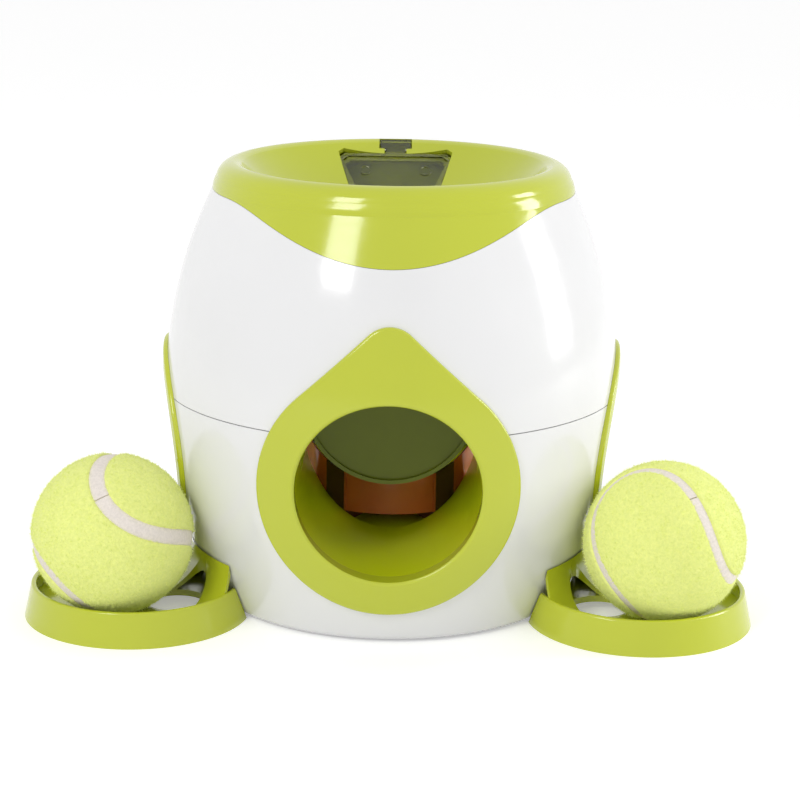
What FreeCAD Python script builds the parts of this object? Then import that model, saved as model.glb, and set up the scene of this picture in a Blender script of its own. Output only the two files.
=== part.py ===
import FreeCAD, Part
import math
import os

from FreeCAD import Vector as V

# Lengths are in millimetres and angles in degrees. The origin is on the ground under the middle of the body.
# The front looks along -Y, and +X is on the right of someone who faces the front.

# Barrel body
BELLY_R = 94.7
BELLY_Z = 85.0
SIDE_ARC_R = 195.0
BODY_BOTTOM_Z = 1.0
BASE_ROUND = 4.0
SHELL_WALL = 2.5
SEAM_Z = 88.6
SEAM_GAP = 0.4
SPIGOT_H = 5.0
SPIGOT_WALL = 1.4
FIT_GAP = 0.3
SEAT_GAP = 0.05

# Top funnel
APRON_Z = 171.3
APRON_DROP = 18.6
APRON_HALF_ANGLE = 62.0
RIM_R = 65.9
RIM_Z = 182.0
SHOULDER_R = 73.0
SHOULDER_Z = 176.2
FUNNEL_WALL = 2.4
FUNNEL_INNER_R = 38.4
FUNNEL_INNER_Z = 158.6
FUNNEL_SAG = 1.6
THROAT_R = 36.5
THROAT_BOTTOM_Z = 128.0
SKIRT_H = 6.0

# Ball and outlets
BALL_R = 32.5
OUTLET_R = 36.5
OUTLET_Z = 66.0
OUTLET_WALL = 2.0
BEZEL_R = 51.5
BEZEL_APEX_R = 12.0
BEZEL_APEX_Z = 132.0
BEZEL_PROUD = 1.8
BEZEL_ROUND = 1.1
SIDE_BEZEL_R = 41.5
COLLAR_GAP = 0.3

# Tipping cradle
CUP_Z = 90.0
CUP_PLAY = 1.0
CUP_WALL = 2.0
CUP_HALF_ANGLE = 38.0
CUP_HALF_LENGTH = 34.0
CUP_RIM_W = 1.6
CUP_RIM_H = 1.5
CUP_PLATE_TOP = 3.0
PIVOT_Z = 78.0
CRADLE_SWING = 45.0
CRADLE_AXLE_R = 2.5
CRADLE_HUB_R = 6.5
RUN_GAP = 0.06
BUSH_WALL = 1.6
BUSH_LENGTH = 6.0

# Gear pair between cradle and treat wheel
GEAR_MODULE = 1.6
SECTOR_TEETH = 40
CROWN_TEETH = 25
TOOTH_W = 1.9
TOOTH_ADDENDUM = 1.3
TOOTH_DEDENDUM = 1.8
TOOTH_FLANK = 20.0
GEAR_FACE = 2.0
SECTOR_HALF_ANGLE = 58.0
SECTOR_WEB = 3.0

# Treat wheel, its deck, guard and cover
WHEEL_Y = 22.0
WHEEL_R = 36.4
WHEEL_HUB_R = 22.6
WHEEL_POCKETS = 5
WHEEL_RIB_ANGLE = 15.0
WHEEL_AXLE_R = 2.5
WHEEL_BORE_DEPTH = 12.5
WHEEL_PLAY = 0.4
GUARD_GAP = 0.6
GUARD_WALL = 1.5
GUARD_TOP = 64.0
EXIT_H = 5.5
EXIT_HALF_ANGLE = 35.0
COVER_BOTTOM_Z = 48.0
COVER_T = 1.8
DECK_T = 2.5

# Treat hopper
HOPPER_WALL = 2.0
HOPPER_HALF_W = 15.0
HOPPER_FRONT_Y = 44.6
HOPPER_BACK_Y = 60.0
HOPPER_TOP_HALF_W = 30.0
HOPPER_TOP_FRONT_Y = 40.5
HOPPER_TOP_BACK_Y = 70.0
HOPPER_NECK_Z = 108.0
HOPPER_SHOULDER_Z = 148.0

# Hopper lid, measured along the slope of the funnel from its upper edge
LID_TOP_Y = 58.6
LID_TOP_Z = 176.0
LID_SLOPE = 41.0
LID_T = 2.0
LID_HALF_W = 24.3
LID_LENGTH = 25.0
LID_TAPER = 0.27
LID_LIP_W = 1.6
LID_LIP_H = 0.8
LID_GAP = 0.5
LID_BEVEL = 2.2
TAB_NECK_W = 8.6
TAB_W = 13.2
TAB_L = 5.0
LID_BOSS_X = 13.0
LID_BOSS_R = 2.8
LID_PIN_R = 1.0
LID_BARREL_R = 2.2

# Ring trays
TRAY_X = 103.3
TRAY_Y = -41.1
TRAY_R = 46.3
TRAY_TOP_R = 43.2
TRAY_H = 14.0
TRAY_WALL = 2.3
TRAY_FLOOR_Z = 6.2
TRAY_FLOOR_T = 2.6
TRAY_GAP = 0.6
RAMP_TOP_Z = 25.0
RAMP_FOOT_OUT = 12.0
RAMP_T = 1.8
WINDOW_X = 87.0
WINDOW_Y = -46.0
WINDOW_R = 12.5
BALL_X = 111.2
BALL_Y = -55.5
BALL_Z = 37.5
TONGUE_W = 22.0
TONGUE_T = 2.4
TONGUE_Z = 11.0
TONGUE_REACH = 9.0

# Felt ball
CORE_R = 29.3
CORE_WALL = 3.4

# Base, bosses and fasteners
COVER_PLATE_R = 69.0
LEDGE_IN_R = 60.0
PLATE_T = 2.2
BOSS_PLACE_R = 64.0
BOSS_R = 4.2
SCREW_R = 1.5
SCREW_HEAD_R = 3.0
SCREW_HEAD_H = 2.0
FOOT_R = 7.0
FOOT_PLACE_R = 50.0
FOOT_SINK = 1.0

# Places that several pieces share
BOSS_ANGLES = (45, 135, 225, 315)
COVER_SCREW_ANGLES = (22.5, 112.5, 202.5, 292.5)
FOOT_ANGLES = (0, 90, 180, 270)
FUNNEL_SCREW_ANGLES = (30, 150, 210, 330)
FUNNEL_BOSS_R = 62.0
FUNNEL_SCREW_L = 12.0
SHELF_Z = 138.0
SHELF_IN_R = 54.0
SHELL_SCREW_Z = 78.0
SHELL_SCREW_L = 18.0
COVER_POST_H = 10.0
COVER_SCREW_TOP = 11.0
CHUTE_POST_X = 58.0
CHUTE_POST_Y = 26.0
CHUTE_SCREW_L = 9.0
CHUTE_TOP_Z = 103.0
HOPPER_SCREW_X = 34.0
HOPPER_SCREW_Y = 66.0
COLLAR_END = 80.0
RAMP_IN_X = 46.0
RAMP_OUT_X = 79.7
RAMP_IN_Z = 45.0
RAMP_LIP = 1.5
RAMP_LEG_X = 8.0
RAMP_LEG_Y = 18.0
GUARD_BACK = 8.0
GUARD_RIB_H = 0.6
CROWN_SEAT_Z = 42.5
SWING_STEPS = 9
FRAME_W = 2.0
FRAME_T = 1.6
TAB_REACH = 8.5
BARREL_HALF_L = 12.0
PIN_HALF_L = 15.0

LEDGE_TOP_Z = BODY_BOTTOM_Z + 2 * PLATE_T + SEAT_GAP
CHUTE_POST_TOP = OUTLET_Z - OUTLET_R - DECK_T
DECK_TOP_Z = OUTLET_Z - OUTLET_R
SECTOR_R = GEAR_MODULE * SECTOR_TEETH / 2
CROWN_R = GEAR_MODULE * CROWN_TEETH / 2
MESH_Z = PIVOT_Z - SECTOR_R
CUP_FRONT = CUP_HALF_LENGTH + CUP_WALL + CUP_RIM_H
GUARD_IN_R = WHEEL_R + GUARD_GAP
GUARD_OUT_R = GUARD_IN_R + GUARD_WALL
CUP_IN_R = BALL_R + CUP_PLAY
CUP_OUT_R = CUP_IN_R + CUP_WALL
GEAR_Y = WHEEL_Y + CROWN_R
COVER_TOP_Z = COVER_BOTTOM_Z + COVER_T
BIG = 300.0


def cylinder(radius, start, direction, length):
    return Part.makeCylinder(radius, length, start, direction)


def ring(r_in, r_out, start, direction, length):
    return cylinder(r_out, start, direction, length).cut(cylinder(r_in, start, direction, length))


def box(x0, x1, y0, y1, z0, z1):
    return Part.makeBox(x1 - x0, y1 - y0, z1 - z0, V(x0, y0, z0))


def centred_box(half_x, half_y, z0, z1, at=(0, 0)):
    return box(at[0] - half_x, at[0] + half_x, at[1] - half_y, at[1] + half_y, z0, z1)


def polygon_prism(points, direction):
    wire = Part.makePolygon(points + [points[0]])
    return Part.Face(wire).extrude(direction)


def polar(radius, angle, z=0.0):
    a = math.radians(angle)
    return V(radius * math.cos(a), radius * math.sin(a), z)


def mirrored(shape):
    return shape.mirror(V(0, 0, 0), V(1, 0, 0))


def spun(shape, angle, about=V(0, 0, 0)):
    copy = shape.copy()
    copy.rotate(about, V(0, 0, 1), angle)
    return copy


def fuse_all(shapes):
    first = shapes[0]
    return first.fuse(shapes[1:]).removeSplitter() if len(shapes) > 1 else first


def barrel_r(z, offset=0.0):
    arc = SIDE_ARC_R + offset
    return BELLY_R - SIDE_ARC_R + math.sqrt(arc * arc - (z - BELLY_Z) ** 2)


def barrel(offset, z0, z1):
    """The solid under the side arc of the body, grown outwards by offset."""
    mid = (z0 + z1) / 2
    side = Part.Arc(
        V(barrel_r(z0, offset), 0, z0), V(barrel_r(mid, offset), 0, mid), V(barrel_r(z1, offset), 0, z1)
    ).toShape()
    edges = [
        Part.makeLine(V(0, 0, z0), V(barrel_r(z0, offset), 0, z0)),
        side,
        Part.makeLine(V(barrel_r(z1, offset), 0, z1), V(0, 0, z1)),
        Part.makeLine(V(0, 0, z1), V(0, 0, z0)),
    ]
    return Part.Face(Part.Wire(edges)).revolve(V(0, 0, 0), V(0, 0, 1), 360)


def apron_z(angle):
    """Height of the funnel's lower edge, where angle is counted from the front."""
    if abs(angle) >= APRON_HALF_ANGLE:
        return APRON_Z
    return APRON_Z - APRON_DROP * 0.5 * (1 + math.cos(math.pi * angle / APRON_HALF_ANGLE))


def below_apron(drop):
    """Everything under the apron's wavy edge, lowered by drop. The wave is seen from the front."""
    wave = []
    for i in range(-6, 7):
        angle = APRON_HALF_ANGLE * i / 6
        z = apron_z(angle)
        wave.append(V(barrel_r(z) * math.sin(math.radians(angle)), 0, z - drop))
    curve = Part.BSplineCurve()
    curve.interpolate(wave)
    top = APRON_Z - drop
    corners = [wave[-1], V(BIG, 0, top), V(BIG, 0, -BIG), V(-BIG, 0, -BIG), V(-BIG, 0, top), wave[0]]
    edges = [curve.toShape()] + [Part.makeLine(a, b) for a, b in zip(corners, corners[1:])]
    front = Part.Face(Part.Wire(edges)).extrude(V(0, -BIG, 0))
    return front.fuse(box(-BIG, BIG, 0, BIG, -BIG, top))


def lower_housing():
    outer = barrel(0, BODY_BOTTOM_Z, SEAM_Z - SEAM_GAP / 2)
    bottom = [e for e in outer.Edges if abs(e.CenterOfMass.z - BODY_BOTTOM_Z) < 0.01 and e.Length > 300]
    outer = outer.makeFillet(BASE_ROUND, bottom)
    shell = outer.cut(barrel(-SHELL_WALL, BODY_BOTTOM_Z + PLATE_T, SEAM_Z + 1))
    shell = shell.cut(cylinder(COVER_PLATE_R + FIT_GAP, V(0, 0, 0), V(0, 0, 1), 10))
    ledge_z = BODY_BOTTOM_Z + PLATE_T + SEAT_GAP
    ledge = ring(LEDGE_IN_R, barrel_r(ledge_z, -SHELL_WALL) + 0.8, V(0, 0, ledge_z), V(0, 0, 1), PLATE_T)
    spigot = barrel(-SHELL_WALL - FIT_GAP, SEAM_Z - SPIGOT_H, SEAM_Z + SPIGOT_H)
    spigot = spigot.cut(barrel(-SHELL_WALL - FIT_GAP - SPIGOT_WALL, SEAM_Z - SPIGOT_H, SEAM_Z + SPIGOT_H))
    root = barrel(-SHELL_WALL + 0.5, SEAM_Z - SPIGOT_H, SEAM_Z - SEAM_GAP / 2)
    root = root.cut(barrel(-SHELL_WALL - FIT_GAP - SPIGOT_WALL, SEAM_Z - SPIGOT_H, SEAM_Z))
    parts = [shell, ledge, spigot.cut(outlet_tools(OUTLET_R + OUTLET_WALL + 4)), root]
    for angle in BOSS_ANGLES:
        parts.append(boss(angle, ledge_z, SEAM_Z - SEAM_GAP / 2))
    for angle in COVER_SCREW_ANGLES:
        parts.append(cylinder(BOSS_R, polar(BOSS_PLACE_R, angle, ledge_z), V(0, 0, 1), COVER_POST_H))
    for x in (-CHUTE_POST_X, CHUTE_POST_X):
        parts.append(cylinder(BOSS_R, V(x, CHUTE_POST_Y, ledge_z), V(0, 0, 1), CHUTE_POST_TOP - ledge_z))
    body = fuse_all(parts)
    body = body.cut(outlet_tools(OUTLET_R + OUTLET_WALL + COLLAR_GAP))
    for angle in BOSS_ANGLES:
        body = body.cut(cylinder(SCREW_R, polar(BOSS_PLACE_R, angle, 0), V(0, 0, 1), BIG))
        place = polar(BOSS_PLACE_R, angle, 0)
        body = body.cut(cylinder(SCREW_HEAD_R + FIT_GAP, place, V(0, 0, 1), SHELL_SCREW_Z))
    for angle in COVER_SCREW_ANGLES:
        body = body.cut(cylinder(SCREW_R, polar(BOSS_PLACE_R, angle, 0), V(0, 0, 1), COVER_SCREW_TOP))
    for x in (-CHUTE_POST_X, CHUTE_POST_X):
        low_end = V(x, CHUTE_POST_Y, CHUTE_POST_TOP - CHUTE_SCREW_L)
        body = body.cut(cylinder(SCREW_R, low_end, V(0, 0, 1), BIG))
    for side in (-1, 1):
        slot = box(60, 100, -TONGUE_W / 2 - FIT_GAP, TONGUE_W / 2 + FIT_GAP,
                   TONGUE_Z - TONGUE_T / 2 - FIT_GAP, TONGUE_Z + TONGUE_T / 2 + FIT_GAP)
        body = body.cut(slot if side > 0 else mirrored(slot))
    return body


def boss(angle, z0, z1):
    """A screw tube with a rib out to the wall beside it."""
    tube = cylinder(BOSS_R, polar(BOSS_PLACE_R, angle, z0), V(0, 0, 1), z1 - z0)
    rib = box(BOSS_PLACE_R, BELLY_R + 5, -1, 1, z0, z1)
    rib = spun(rib, angle).common(barrel(-SHELL_WALL + 0.5, BODY_BOTTOM_Z, APRON_Z - 30))
    return tube.fuse(rib)


def outlet_tools(radius):
    """The three round outlet holes, at the front, left and right."""
    front = cylinder(radius, V(0, -BIG, OUTLET_Z), V(0, 1, 0), BIG - 60)
    return front.fuse([spun(front, 90), spun(front, -90)])


def upper_housing():
    outer = barrel(0, SEAM_Z + SEAM_GAP / 2, APRON_Z)
    shell = outer.cut(barrel(-SHELL_WALL, SEAM_Z, APRON_Z + 2))
    shell = shell.common(below_apron(FIT_GAP / 2))
    shelf = barrel(-SHELL_WALL + 0.5, SHELF_Z, SHELF_Z + PLATE_T)
    shelf = shelf.cut(cylinder(SHELF_IN_R, V(0, 0, SHELF_Z - 1), V(0, 0, 1), 10))
    shelf = shelf.cut(hopper_duct(-FIT_GAP, 0))
    parts = [shell, shelf]
    for angle in BOSS_ANGLES:
        parts.append(boss(angle, SEAM_Z + SEAM_GAP / 2, SHELF_Z + 1))
    body = fuse_all(parts)
    body = body.cut(outlet_tools(OUTLET_R + OUTLET_WALL + COLLAR_GAP))
    for angle in BOSS_ANGLES:
        place = polar(BOSS_PLACE_R, angle, 0)
        body = body.cut(cylinder(SCREW_R, place, V(0, 0, 1), SHELL_SCREW_Z + SHELL_SCREW_L))
    for angle in FUNNEL_SCREW_ANGLES:
        body = body.cut(cylinder(SCREW_R, polar(FUNNEL_BOSS_R, angle, SHELF_Z - 1), V(0, 0, 1), 10))
    for side in (-1, 1):
        at = V(side * HOPPER_SCREW_X, HOPPER_SCREW_Y, SHELF_Z - 1)
        body = body.cut(cylinder(SCREW_R, at, V(0, 0, 1), 10))
    spigot = barrel(-SHELL_WALL - FIT_GAP - SPIGOT_WALL - FIT_GAP, SEAM_Z, SEAM_Z + SPIGOT_H + 1)
    lip = barrel(-SHELL_WALL, SEAM_Z, SEAM_Z + SPIGOT_H + 1).cut(spigot)
    return body.cut(lip)


def revolved(edges):
    return Part.Face(Part.Wire(edges)).revolve(V(0, 0, 0), V(0, 0, 1), 360)


def arc3(a, b, c):
    return Part.Arc(a, b, c).toShape()


def funnel_profile(inset):
    """The funnel from the apron over the rim to the throat, inset from its outer skin."""
    out = -inset
    low = V(barrel_r(APRON_Z - APRON_DROP - 4, out), 0, APRON_Z - APRON_DROP - 4)
    mid_z = APRON_Z - APRON_DROP / 2
    mid = V(barrel_r(mid_z, out), 0, mid_z)
    top = V(barrel_r(APRON_Z, out), 0, APRON_Z)
    shoulder = V(SHOULDER_R - inset * 0.8, 0, SHOULDER_Z - inset * 0.6)
    crest = V(RIM_R, 0, RIM_Z - inset)
    inner = V(RIM_R - 3.4 + inset * 0.55, 0, RIM_Z - 1.2 - inset * 0.85)
    foot = V(FUNNEL_INNER_R + inset * 0.6, 0, FUNNEL_INNER_Z - inset * 0.8)
    belly = V((inner.x + foot.x) / 2 + FUNNEL_SAG * 0.6, 0, (inner.z + foot.z) / 2 - FUNNEL_SAG * 0.8)
    neck = V(THROAT_R + inset, 0, foot.z - 3.0)
    end = V(THROAT_R + inset, 0, THROAT_BOTTOM_Z)
    above = V((top.x + shoulder.x) / 2 + 0.35, 0, (top.z + shoulder.z) / 2)
    edges = [arc3(low, mid, top), arc3(top, above, shoulder)]
    bulge = V((shoulder.x + crest.x) / 2 + 0.8, 0, (shoulder.z + crest.z) / 2 + 1.3)
    edges.append(arc3(shoulder, bulge, crest))
    edges.append(arc3(crest, V((crest.x + inner.x) / 2 - 0.1, 0, (crest.z + inner.z) / 2 + 0.25), inner))
    edges.append(arc3(inner, belly, foot))
    edges.append(arc3(foot, V((foot.x + neck.x) / 2 - 0.2, 0, (foot.z + neck.z) / 2 + 0.3), neck))
    edges.append(Part.makeLine(neck, end))
    return edges, low, end


def funnel_skin():
    outer, low_out, end_out = funnel_profile(0)
    inner, low_in, end_in = funnel_profile(FUNNEL_WALL)
    edges = outer + [Part.makeLine(end_out, end_in)] + inner + [Part.makeLine(low_in, low_out)]
    return revolved(Part.sortEdges(edges)[0])


def under_funnel(gap):
    """The space under the funnel's inner skin, less a gap."""
    inner, low, end = funnel_profile(FUNNEL_WALL + gap)
    floor_z = low.z - 110
    corners = [end, V(end.x, 0, floor_z), V(low.x, 0, floor_z), low]
    edges = inner + [Part.makeLine(a, b) for a, b in zip(corners, corners[1:])]
    return revolved(Part.sortEdges(edges)[0])


def lid_frame():
    """Places a shape drawn flat, with +Y down the slope and +Z out of it, into the funnel's rear slope."""
    y_axis = V(0, -math.cos(math.radians(LID_SLOPE)), -math.sin(math.radians(LID_SLOPE)))
    z_axis = V(0, -math.sin(math.radians(LID_SLOPE)), math.cos(math.radians(LID_SLOPE)))
    x_axis = y_axis.cross(z_axis)
    m = FreeCAD.Matrix(x_axis.x, y_axis.x, z_axis.x, 0, x_axis.y, y_axis.y, z_axis.y, LID_TOP_Y,
                       x_axis.z, y_axis.z, z_axis.z, LID_TOP_Z, 0, 0, 0, 1)
    return m


def on_slope(shape):
    copy = shape.copy()
    copy.Placement = FreeCAD.Placement(lid_frame()).multiply(copy.Placement)
    return copy


def lid_outline(grow, length, z0, z1):
    """The lid's tapered plate, drawn flat."""
    top = LID_HALF_W + grow
    bottom = LID_HALF_W - LID_TAPER * length + grow
    points = [V(-top + LID_BEVEL, -grow, z0), V(top - LID_BEVEL, -grow, z0), V(top, LID_BEVEL - grow, z0),
              V(bottom, length + grow, z0), V(-bottom, length + grow, z0), V(-top, LID_BEVEL - grow, z0)]
    return polygon_prism(points, V(0, 0, z1 - z0))


def tab_outline(grow, z0, z1):
    neck = centred_box(TAB_NECK_W / 2 + grow, TAB_REACH / 2 + 1, z0, z1, (0, 1 - TAB_REACH / 2))
    head = centred_box(TAB_W / 2 + grow, TAB_L / 2 + grow, z0, z1, (0, TAB_L / 2 - TAB_REACH))
    return neck.fuse(head)


def top_funnel():
    skin = funnel_skin()
    above = barrel(4, 100, RIM_Z + 3).cut(below_apron(0))
    inside = cylinder(THROAT_R + FUNNEL_WALL + 20, V(0, 0, 100), V(0, 0, 1), 100)
    skin = skin.common(above.fuse(inside))
    skirt = barrel(-SHELL_WALL - FIT_GAP, APRON_Z - APRON_DROP - SKIRT_H, APRON_Z)
    skirt_low = APRON_Z - APRON_DROP - SKIRT_H
    skirt = skirt.cut(barrel(-SHELL_WALL - FIT_GAP - SPIGOT_WALL, skirt_low - 1, APRON_Z + 1))
    skirt = skirt.cut(below_apron(SKIRT_H))
    collar = barrel(-0.6, APRON_Z - APRON_DROP - 2, APRON_Z + 1).cut(
        barrel(-SHELL_WALL - FIT_GAP - SPIGOT_WALL, APRON_Z - APRON_DROP - 3, APRON_Z + 2))
    collar = collar.cut(below_apron(0))
    parts = [skin, skirt, collar]
    room = under_funnel(-0.5)
    for angle in FUNNEL_SCREW_ANGLES:
        post = cylinder(BOSS_R, polar(FUNNEL_BOSS_R, angle, SHELF_Z + PLATE_T), V(0, 0, 1), 60)
        parts.append(post.common(room))
    ears = []
    for side in (-1, 1):
        ears.append(on_slope(ear_blank(side)))
    body = fuse_all(parts + ears)
    pocket = on_slope(lid_outline(LID_GAP, LID_LENGTH + LID_BARREL_R, -LID_T - 0.2, 40))
    window = on_slope(lid_outline(-LID_LIP_W - 0.8, LID_LENGTH - 3, -40, 5))
    slot = on_slope(tab_outline(LID_GAP, -LID_T - 0.2, 40))
    seat = on_slope(lid_outline(LID_GAP + FRAME_W, LID_LENGTH - 1, -LID_T - 0.2 - FRAME_T, -LID_T - 0.2))
    outside = cylinder(RIM_R - 2, V(0, 0, 140), V(0, 0, 1), 60)
    body = body.fuse(seat.common(outside).cut(cylinder(THROAT_R, V(0, 0, 100), V(0, 0, 1), 100)))
    body = body.cut(pocket).cut(slot).cut(window).cut(on_slope(hinge_room(BARREL_HALF_L + FIT_GAP, 1.2)))
    body = body.cut(on_slope(open_lid_room()))
    for side in (-1, 1):
        bore = cylinder(LID_PIN_R, V(side * PIN_HALF_L * 0.5, 0, 0), V(side, 0, 0), PIN_HALF_L)
        body = body.cut(on_slope(moved(bore, hinge_at())))
    for angle in FUNNEL_SCREW_ANGLES:
        start = polar(FUNNEL_BOSS_R, angle, SHELF_Z)
        body = body.cut(cylinder(SCREW_R, start, V(0, 0, 1), FUNNEL_SCREW_L))
    return body


def moved(shape, offset):
    copy = shape.copy()
    copy.translate(offset)
    return copy


def hinge_at():
    """The lid's pin centre in the flat drawing: at the lower end, a little under the plate."""
    return V(0, LID_LENGTH, -LID_BARREL_R)


def hinge_room(half_l, gap):
    """The round space that the lid's hinge barrel turns in, open above."""
    at = hinge_at()
    room = cylinder(LID_BARREL_R + gap, at + V(-half_l, 0, 0), V(1, 0, 0), 2 * half_l)
    return room.fuse(centred_box(half_l, LID_BARREL_R + gap, at.z, 20, (0, at.y)))


def open_lid_room():
    """What the lid's lower end sweeps through above the slope as the lid opens."""
    plate = lid_outline(LID_GAP, LID_LENGTH - 3, -LID_T - LID_GAP, LID_LIP_H + LID_GAP)
    places = []
    for angle in range(36, 97, 12):
        turned = plate.copy()
        turned.rotate(hinge_at(), V(-1, 0, 0), angle)
        places.append(turned)
    return fuse_all(places).common(centred_box(LID_HALF_W, 20, 0, 40, (0, LID_LENGTH)))


def ear_blank(side):
    x0 = BARREL_HALF_L + FIT_GAP
    x1 = PIN_HALF_L
    ear = box(min(side * x0, side * x1), max(side * x0, side * x1), LID_LENGTH - 3, LID_LENGTH + 3, -8, -0.4)
    return ear


def hopper_lid():
    plate = lid_outline(0, LID_LENGTH, -LID_T, 0)
    lip = lid_outline(0, LID_LENGTH, 0, LID_LIP_H)
    lip = lip.cut(lid_outline(-LID_LIP_W, LID_LENGTH - 2, -1, LID_LIP_H + 1))
    parts = [plate, lip, tab_outline(0, -LID_T, 0)]
    for side in (-1, 1):
        at = V(side * LID_BOSS_X, LID_LENGTH * 0.36, 0)
        parts.append(ring(LID_BOSS_R - 0.8, LID_BOSS_R, at, V(0, 0, 1), 0.5))
    barrel_tube = cylinder(LID_BARREL_R, V(-BARREL_HALF_L, 0, 0), V(1, 0, 0), 2 * BARREL_HALF_L)
    parts.append(moved(barrel_tube, hinge_at()))
    body = fuse_all(parts)
    for side in (-1, 1):
        corner = box(min(side * BARREL_HALF_L, side * 40), max(side * BARREL_HALF_L, side * 40),
                     LID_LENGTH - 3.6, LID_LENGTH + 4, -4, 4)
        body = body.cut(corner)
    bore = cylinder(LID_PIN_R + RUN_GAP, V(-30, 0, 0), V(1, 0, 0), 60)
    return on_slope(body.cut(moved(bore, hinge_at())))


def lid_pin():
    pin = cylinder(LID_PIN_R, V(-PIN_HALF_L, 0, 0), V(1, 0, 0), 2 * PIN_HALF_L)
    return on_slope(moved(pin, hinge_at()))


def bezel_outline(inset, depth):
    """The drop-shaped outline seen from the front, as a long prism."""
    big = BEZEL_R - inset
    small = BEZEL_APEX_R - inset
    apex_z = BEZEL_APEX_Z - BEZEL_APEX_R
    lean = math.acos((big - small) / (apex_z - OUTLET_Z))
    x_big = big * math.sin(lean)
    z_big = OUTLET_Z + big * math.cos(lean)
    x_small = small * math.sin(lean)
    z_small = apex_z + small * math.cos(lean)
    y = -BIG
    edges = [
        arc3(V(-x_big, y, z_big), V(0, y, OUTLET_Z - big), V(x_big, y, z_big)),
        Part.makeLine(V(x_big, y, z_big), V(x_small, y, z_small)),
        arc3(V(x_small, y, z_small), V(0, y, apex_z + small), V(-x_small, y, z_small)),
        Part.makeLine(V(-x_small, y, z_small), V(-x_big, y, z_big)),
    ]
    return Part.Face(Part.Wire(edges)).extrude(V(0, depth, 0))


def round_outline(inset, depth):
    """The side bezels' plain round outline, as a long prism."""
    return cylinder(SIDE_BEZEL_R - inset, V(0, -BIG, OUTLET_Z), V(0, 1, 0), depth)


def bezel(outline):
    low = OUTLET_Z - BEZEL_R - 4
    skin = barrel(BEZEL_PROUD, low, BEZEL_APEX_Z + 4)
    under = barrel(SEAT_GAP, low - 1, BEZEL_APEX_Z + 5)
    plate = skin.common(outline)
    hole = cylinder(OUTLET_R, V(0, -BIG, OUTLET_Z), V(0, 1, 0), BIG)
    plate = plate.cut(hole).cut(under)
    rounded = [e for e in plate.Edges if is_outer_edge(e)]
    plate = plate.makeFillet(BEZEL_ROUND, rounded)
    collar = cylinder(OUTLET_R + OUTLET_WALL, V(0, -BIG, OUTLET_Z), V(0, 1, 0), BIG - COLLAR_END)
    collar = collar.common(barrel(BEZEL_PROUD / 2, low, BEZEL_APEX_Z)).cut(hole)
    return fuse_all([plate, collar])


def is_outer_edge(edge):
    """True for the edges on the bezel's outer skin."""
    for share in (0.2, 0.5, 0.8):
        span = edge.LastParameter - edge.FirstParameter
        p = edge.valueAt(edge.FirstParameter + share * span)
        if abs(math.hypot(p.x, p.y) - barrel_r(p.z, BEZEL_PROUD)) > 0.02:
            return False
    return True


def treat_chute():
    length = COLLAR_END - COLLAR_GAP
    tube = ring(OUTLET_R, OUTLET_R + OUTLET_WALL, V(0, -length, OUTLET_Z), V(0, 1, 0), length)
    tube = tube.cut(cylinder(GUARD_OUT_R + FIT_GAP, V(0, WHEEL_Y, DECK_TOP_Z), V(0, 0, 1), 80))
    tube = tube.cut(box(-60, 60, WHEEL_Y - 20, 60, DECK_TOP_Z, 120))
    tube = tube.cut(box(-60, 60, -CUP_FRONT - 1, 60, OUTLET_Z - 6, 120)).cut(swing_room(0.6))
    tube = tube.common(box(-60, 60, -BIG, 60, 0, CHUTE_TOP_Z))
    deck = cylinder(GUARD_OUT_R, V(0, WHEEL_Y, DECK_TOP_Z - DECK_T), V(0, 0, 1), DECK_T)
    bore_low = V(0, WHEEL_Y, DECK_TOP_Z - WHEEL_BORE_DEPTH)
    hub = cylinder(WHEEL_AXLE_R + 3, bore_low, V(0, 0, 1), WHEEL_BORE_DEPTH)
    arms = box(-CHUTE_POST_X, CHUTE_POST_X, CHUTE_POST_Y - BOSS_R, CHUTE_POST_Y + BOSS_R,
               DECK_TOP_Z - DECK_T, DECK_TOP_Z)
    parts = [tube, deck, hub, arms]
    for x in (-CHUTE_POST_X, CHUTE_POST_X):
        parts.append(cylinder(BOSS_R, V(x, CHUTE_POST_Y, DECK_TOP_Z - DECK_T), V(0, 0, 1), DECK_T))
    body = fuse_all(parts)
    blind_end = V(0, WHEEL_Y, DECK_TOP_Z - WHEEL_BORE_DEPTH + 1.5)
    body = body.cut(cylinder(WHEEL_AXLE_R, blind_end, V(0, 0, 1), 40))
    for x in (-CHUTE_POST_X, CHUTE_POST_X):
        body = body.cut(cylinder(SCREW_R, V(x, CHUTE_POST_Y, 0), V(0, 0, 1), 60))
    return body


def ball_ramp():
    """The right-hand gutter from beside the cradle down to the outlet, on one leg."""
    start = V(RAMP_IN_X, 0, RAMP_IN_Z + OUTLET_R)
    end = V(RAMP_OUT_X, 0, DECK_TOP_Z + RAMP_LIP + OUTLET_R)
    way = end - start
    outer = cylinder(OUTLET_R + OUTLET_WALL, start - way * 0.4, way, way.Length * 1.9)
    inner = cylinder(OUTLET_R, start - way * 0.5, way, way.Length * 2.1)
    keep = box(RAMP_IN_X, RAMP_OUT_X, -OUTLET_R, OUTLET_R, 0, OUTLET_Z - 2)
    gutter = outer.cut(inner).common(keep)
    leg_at = (BOSS_PLACE_R + 1, 0)
    leg = centred_box(RAMP_LEG_X / 2, RAMP_LEG_Y / 2, LEDGE_TOP_Z, OUTLET_Z - 2, leg_at)
    leg = leg.cut(centred_box(RAMP_LEG_X / 2 - 1.6, RAMP_LEG_Y / 2 - 1.6, 0, OUTLET_Z, leg_at)).cut(inner)
    clear = barrel(-SHELL_WALL - FIT_GAP, BODY_BOTTOM_Z, 120)
    return fuse_all([gutter, leg]).common(clear)


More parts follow.
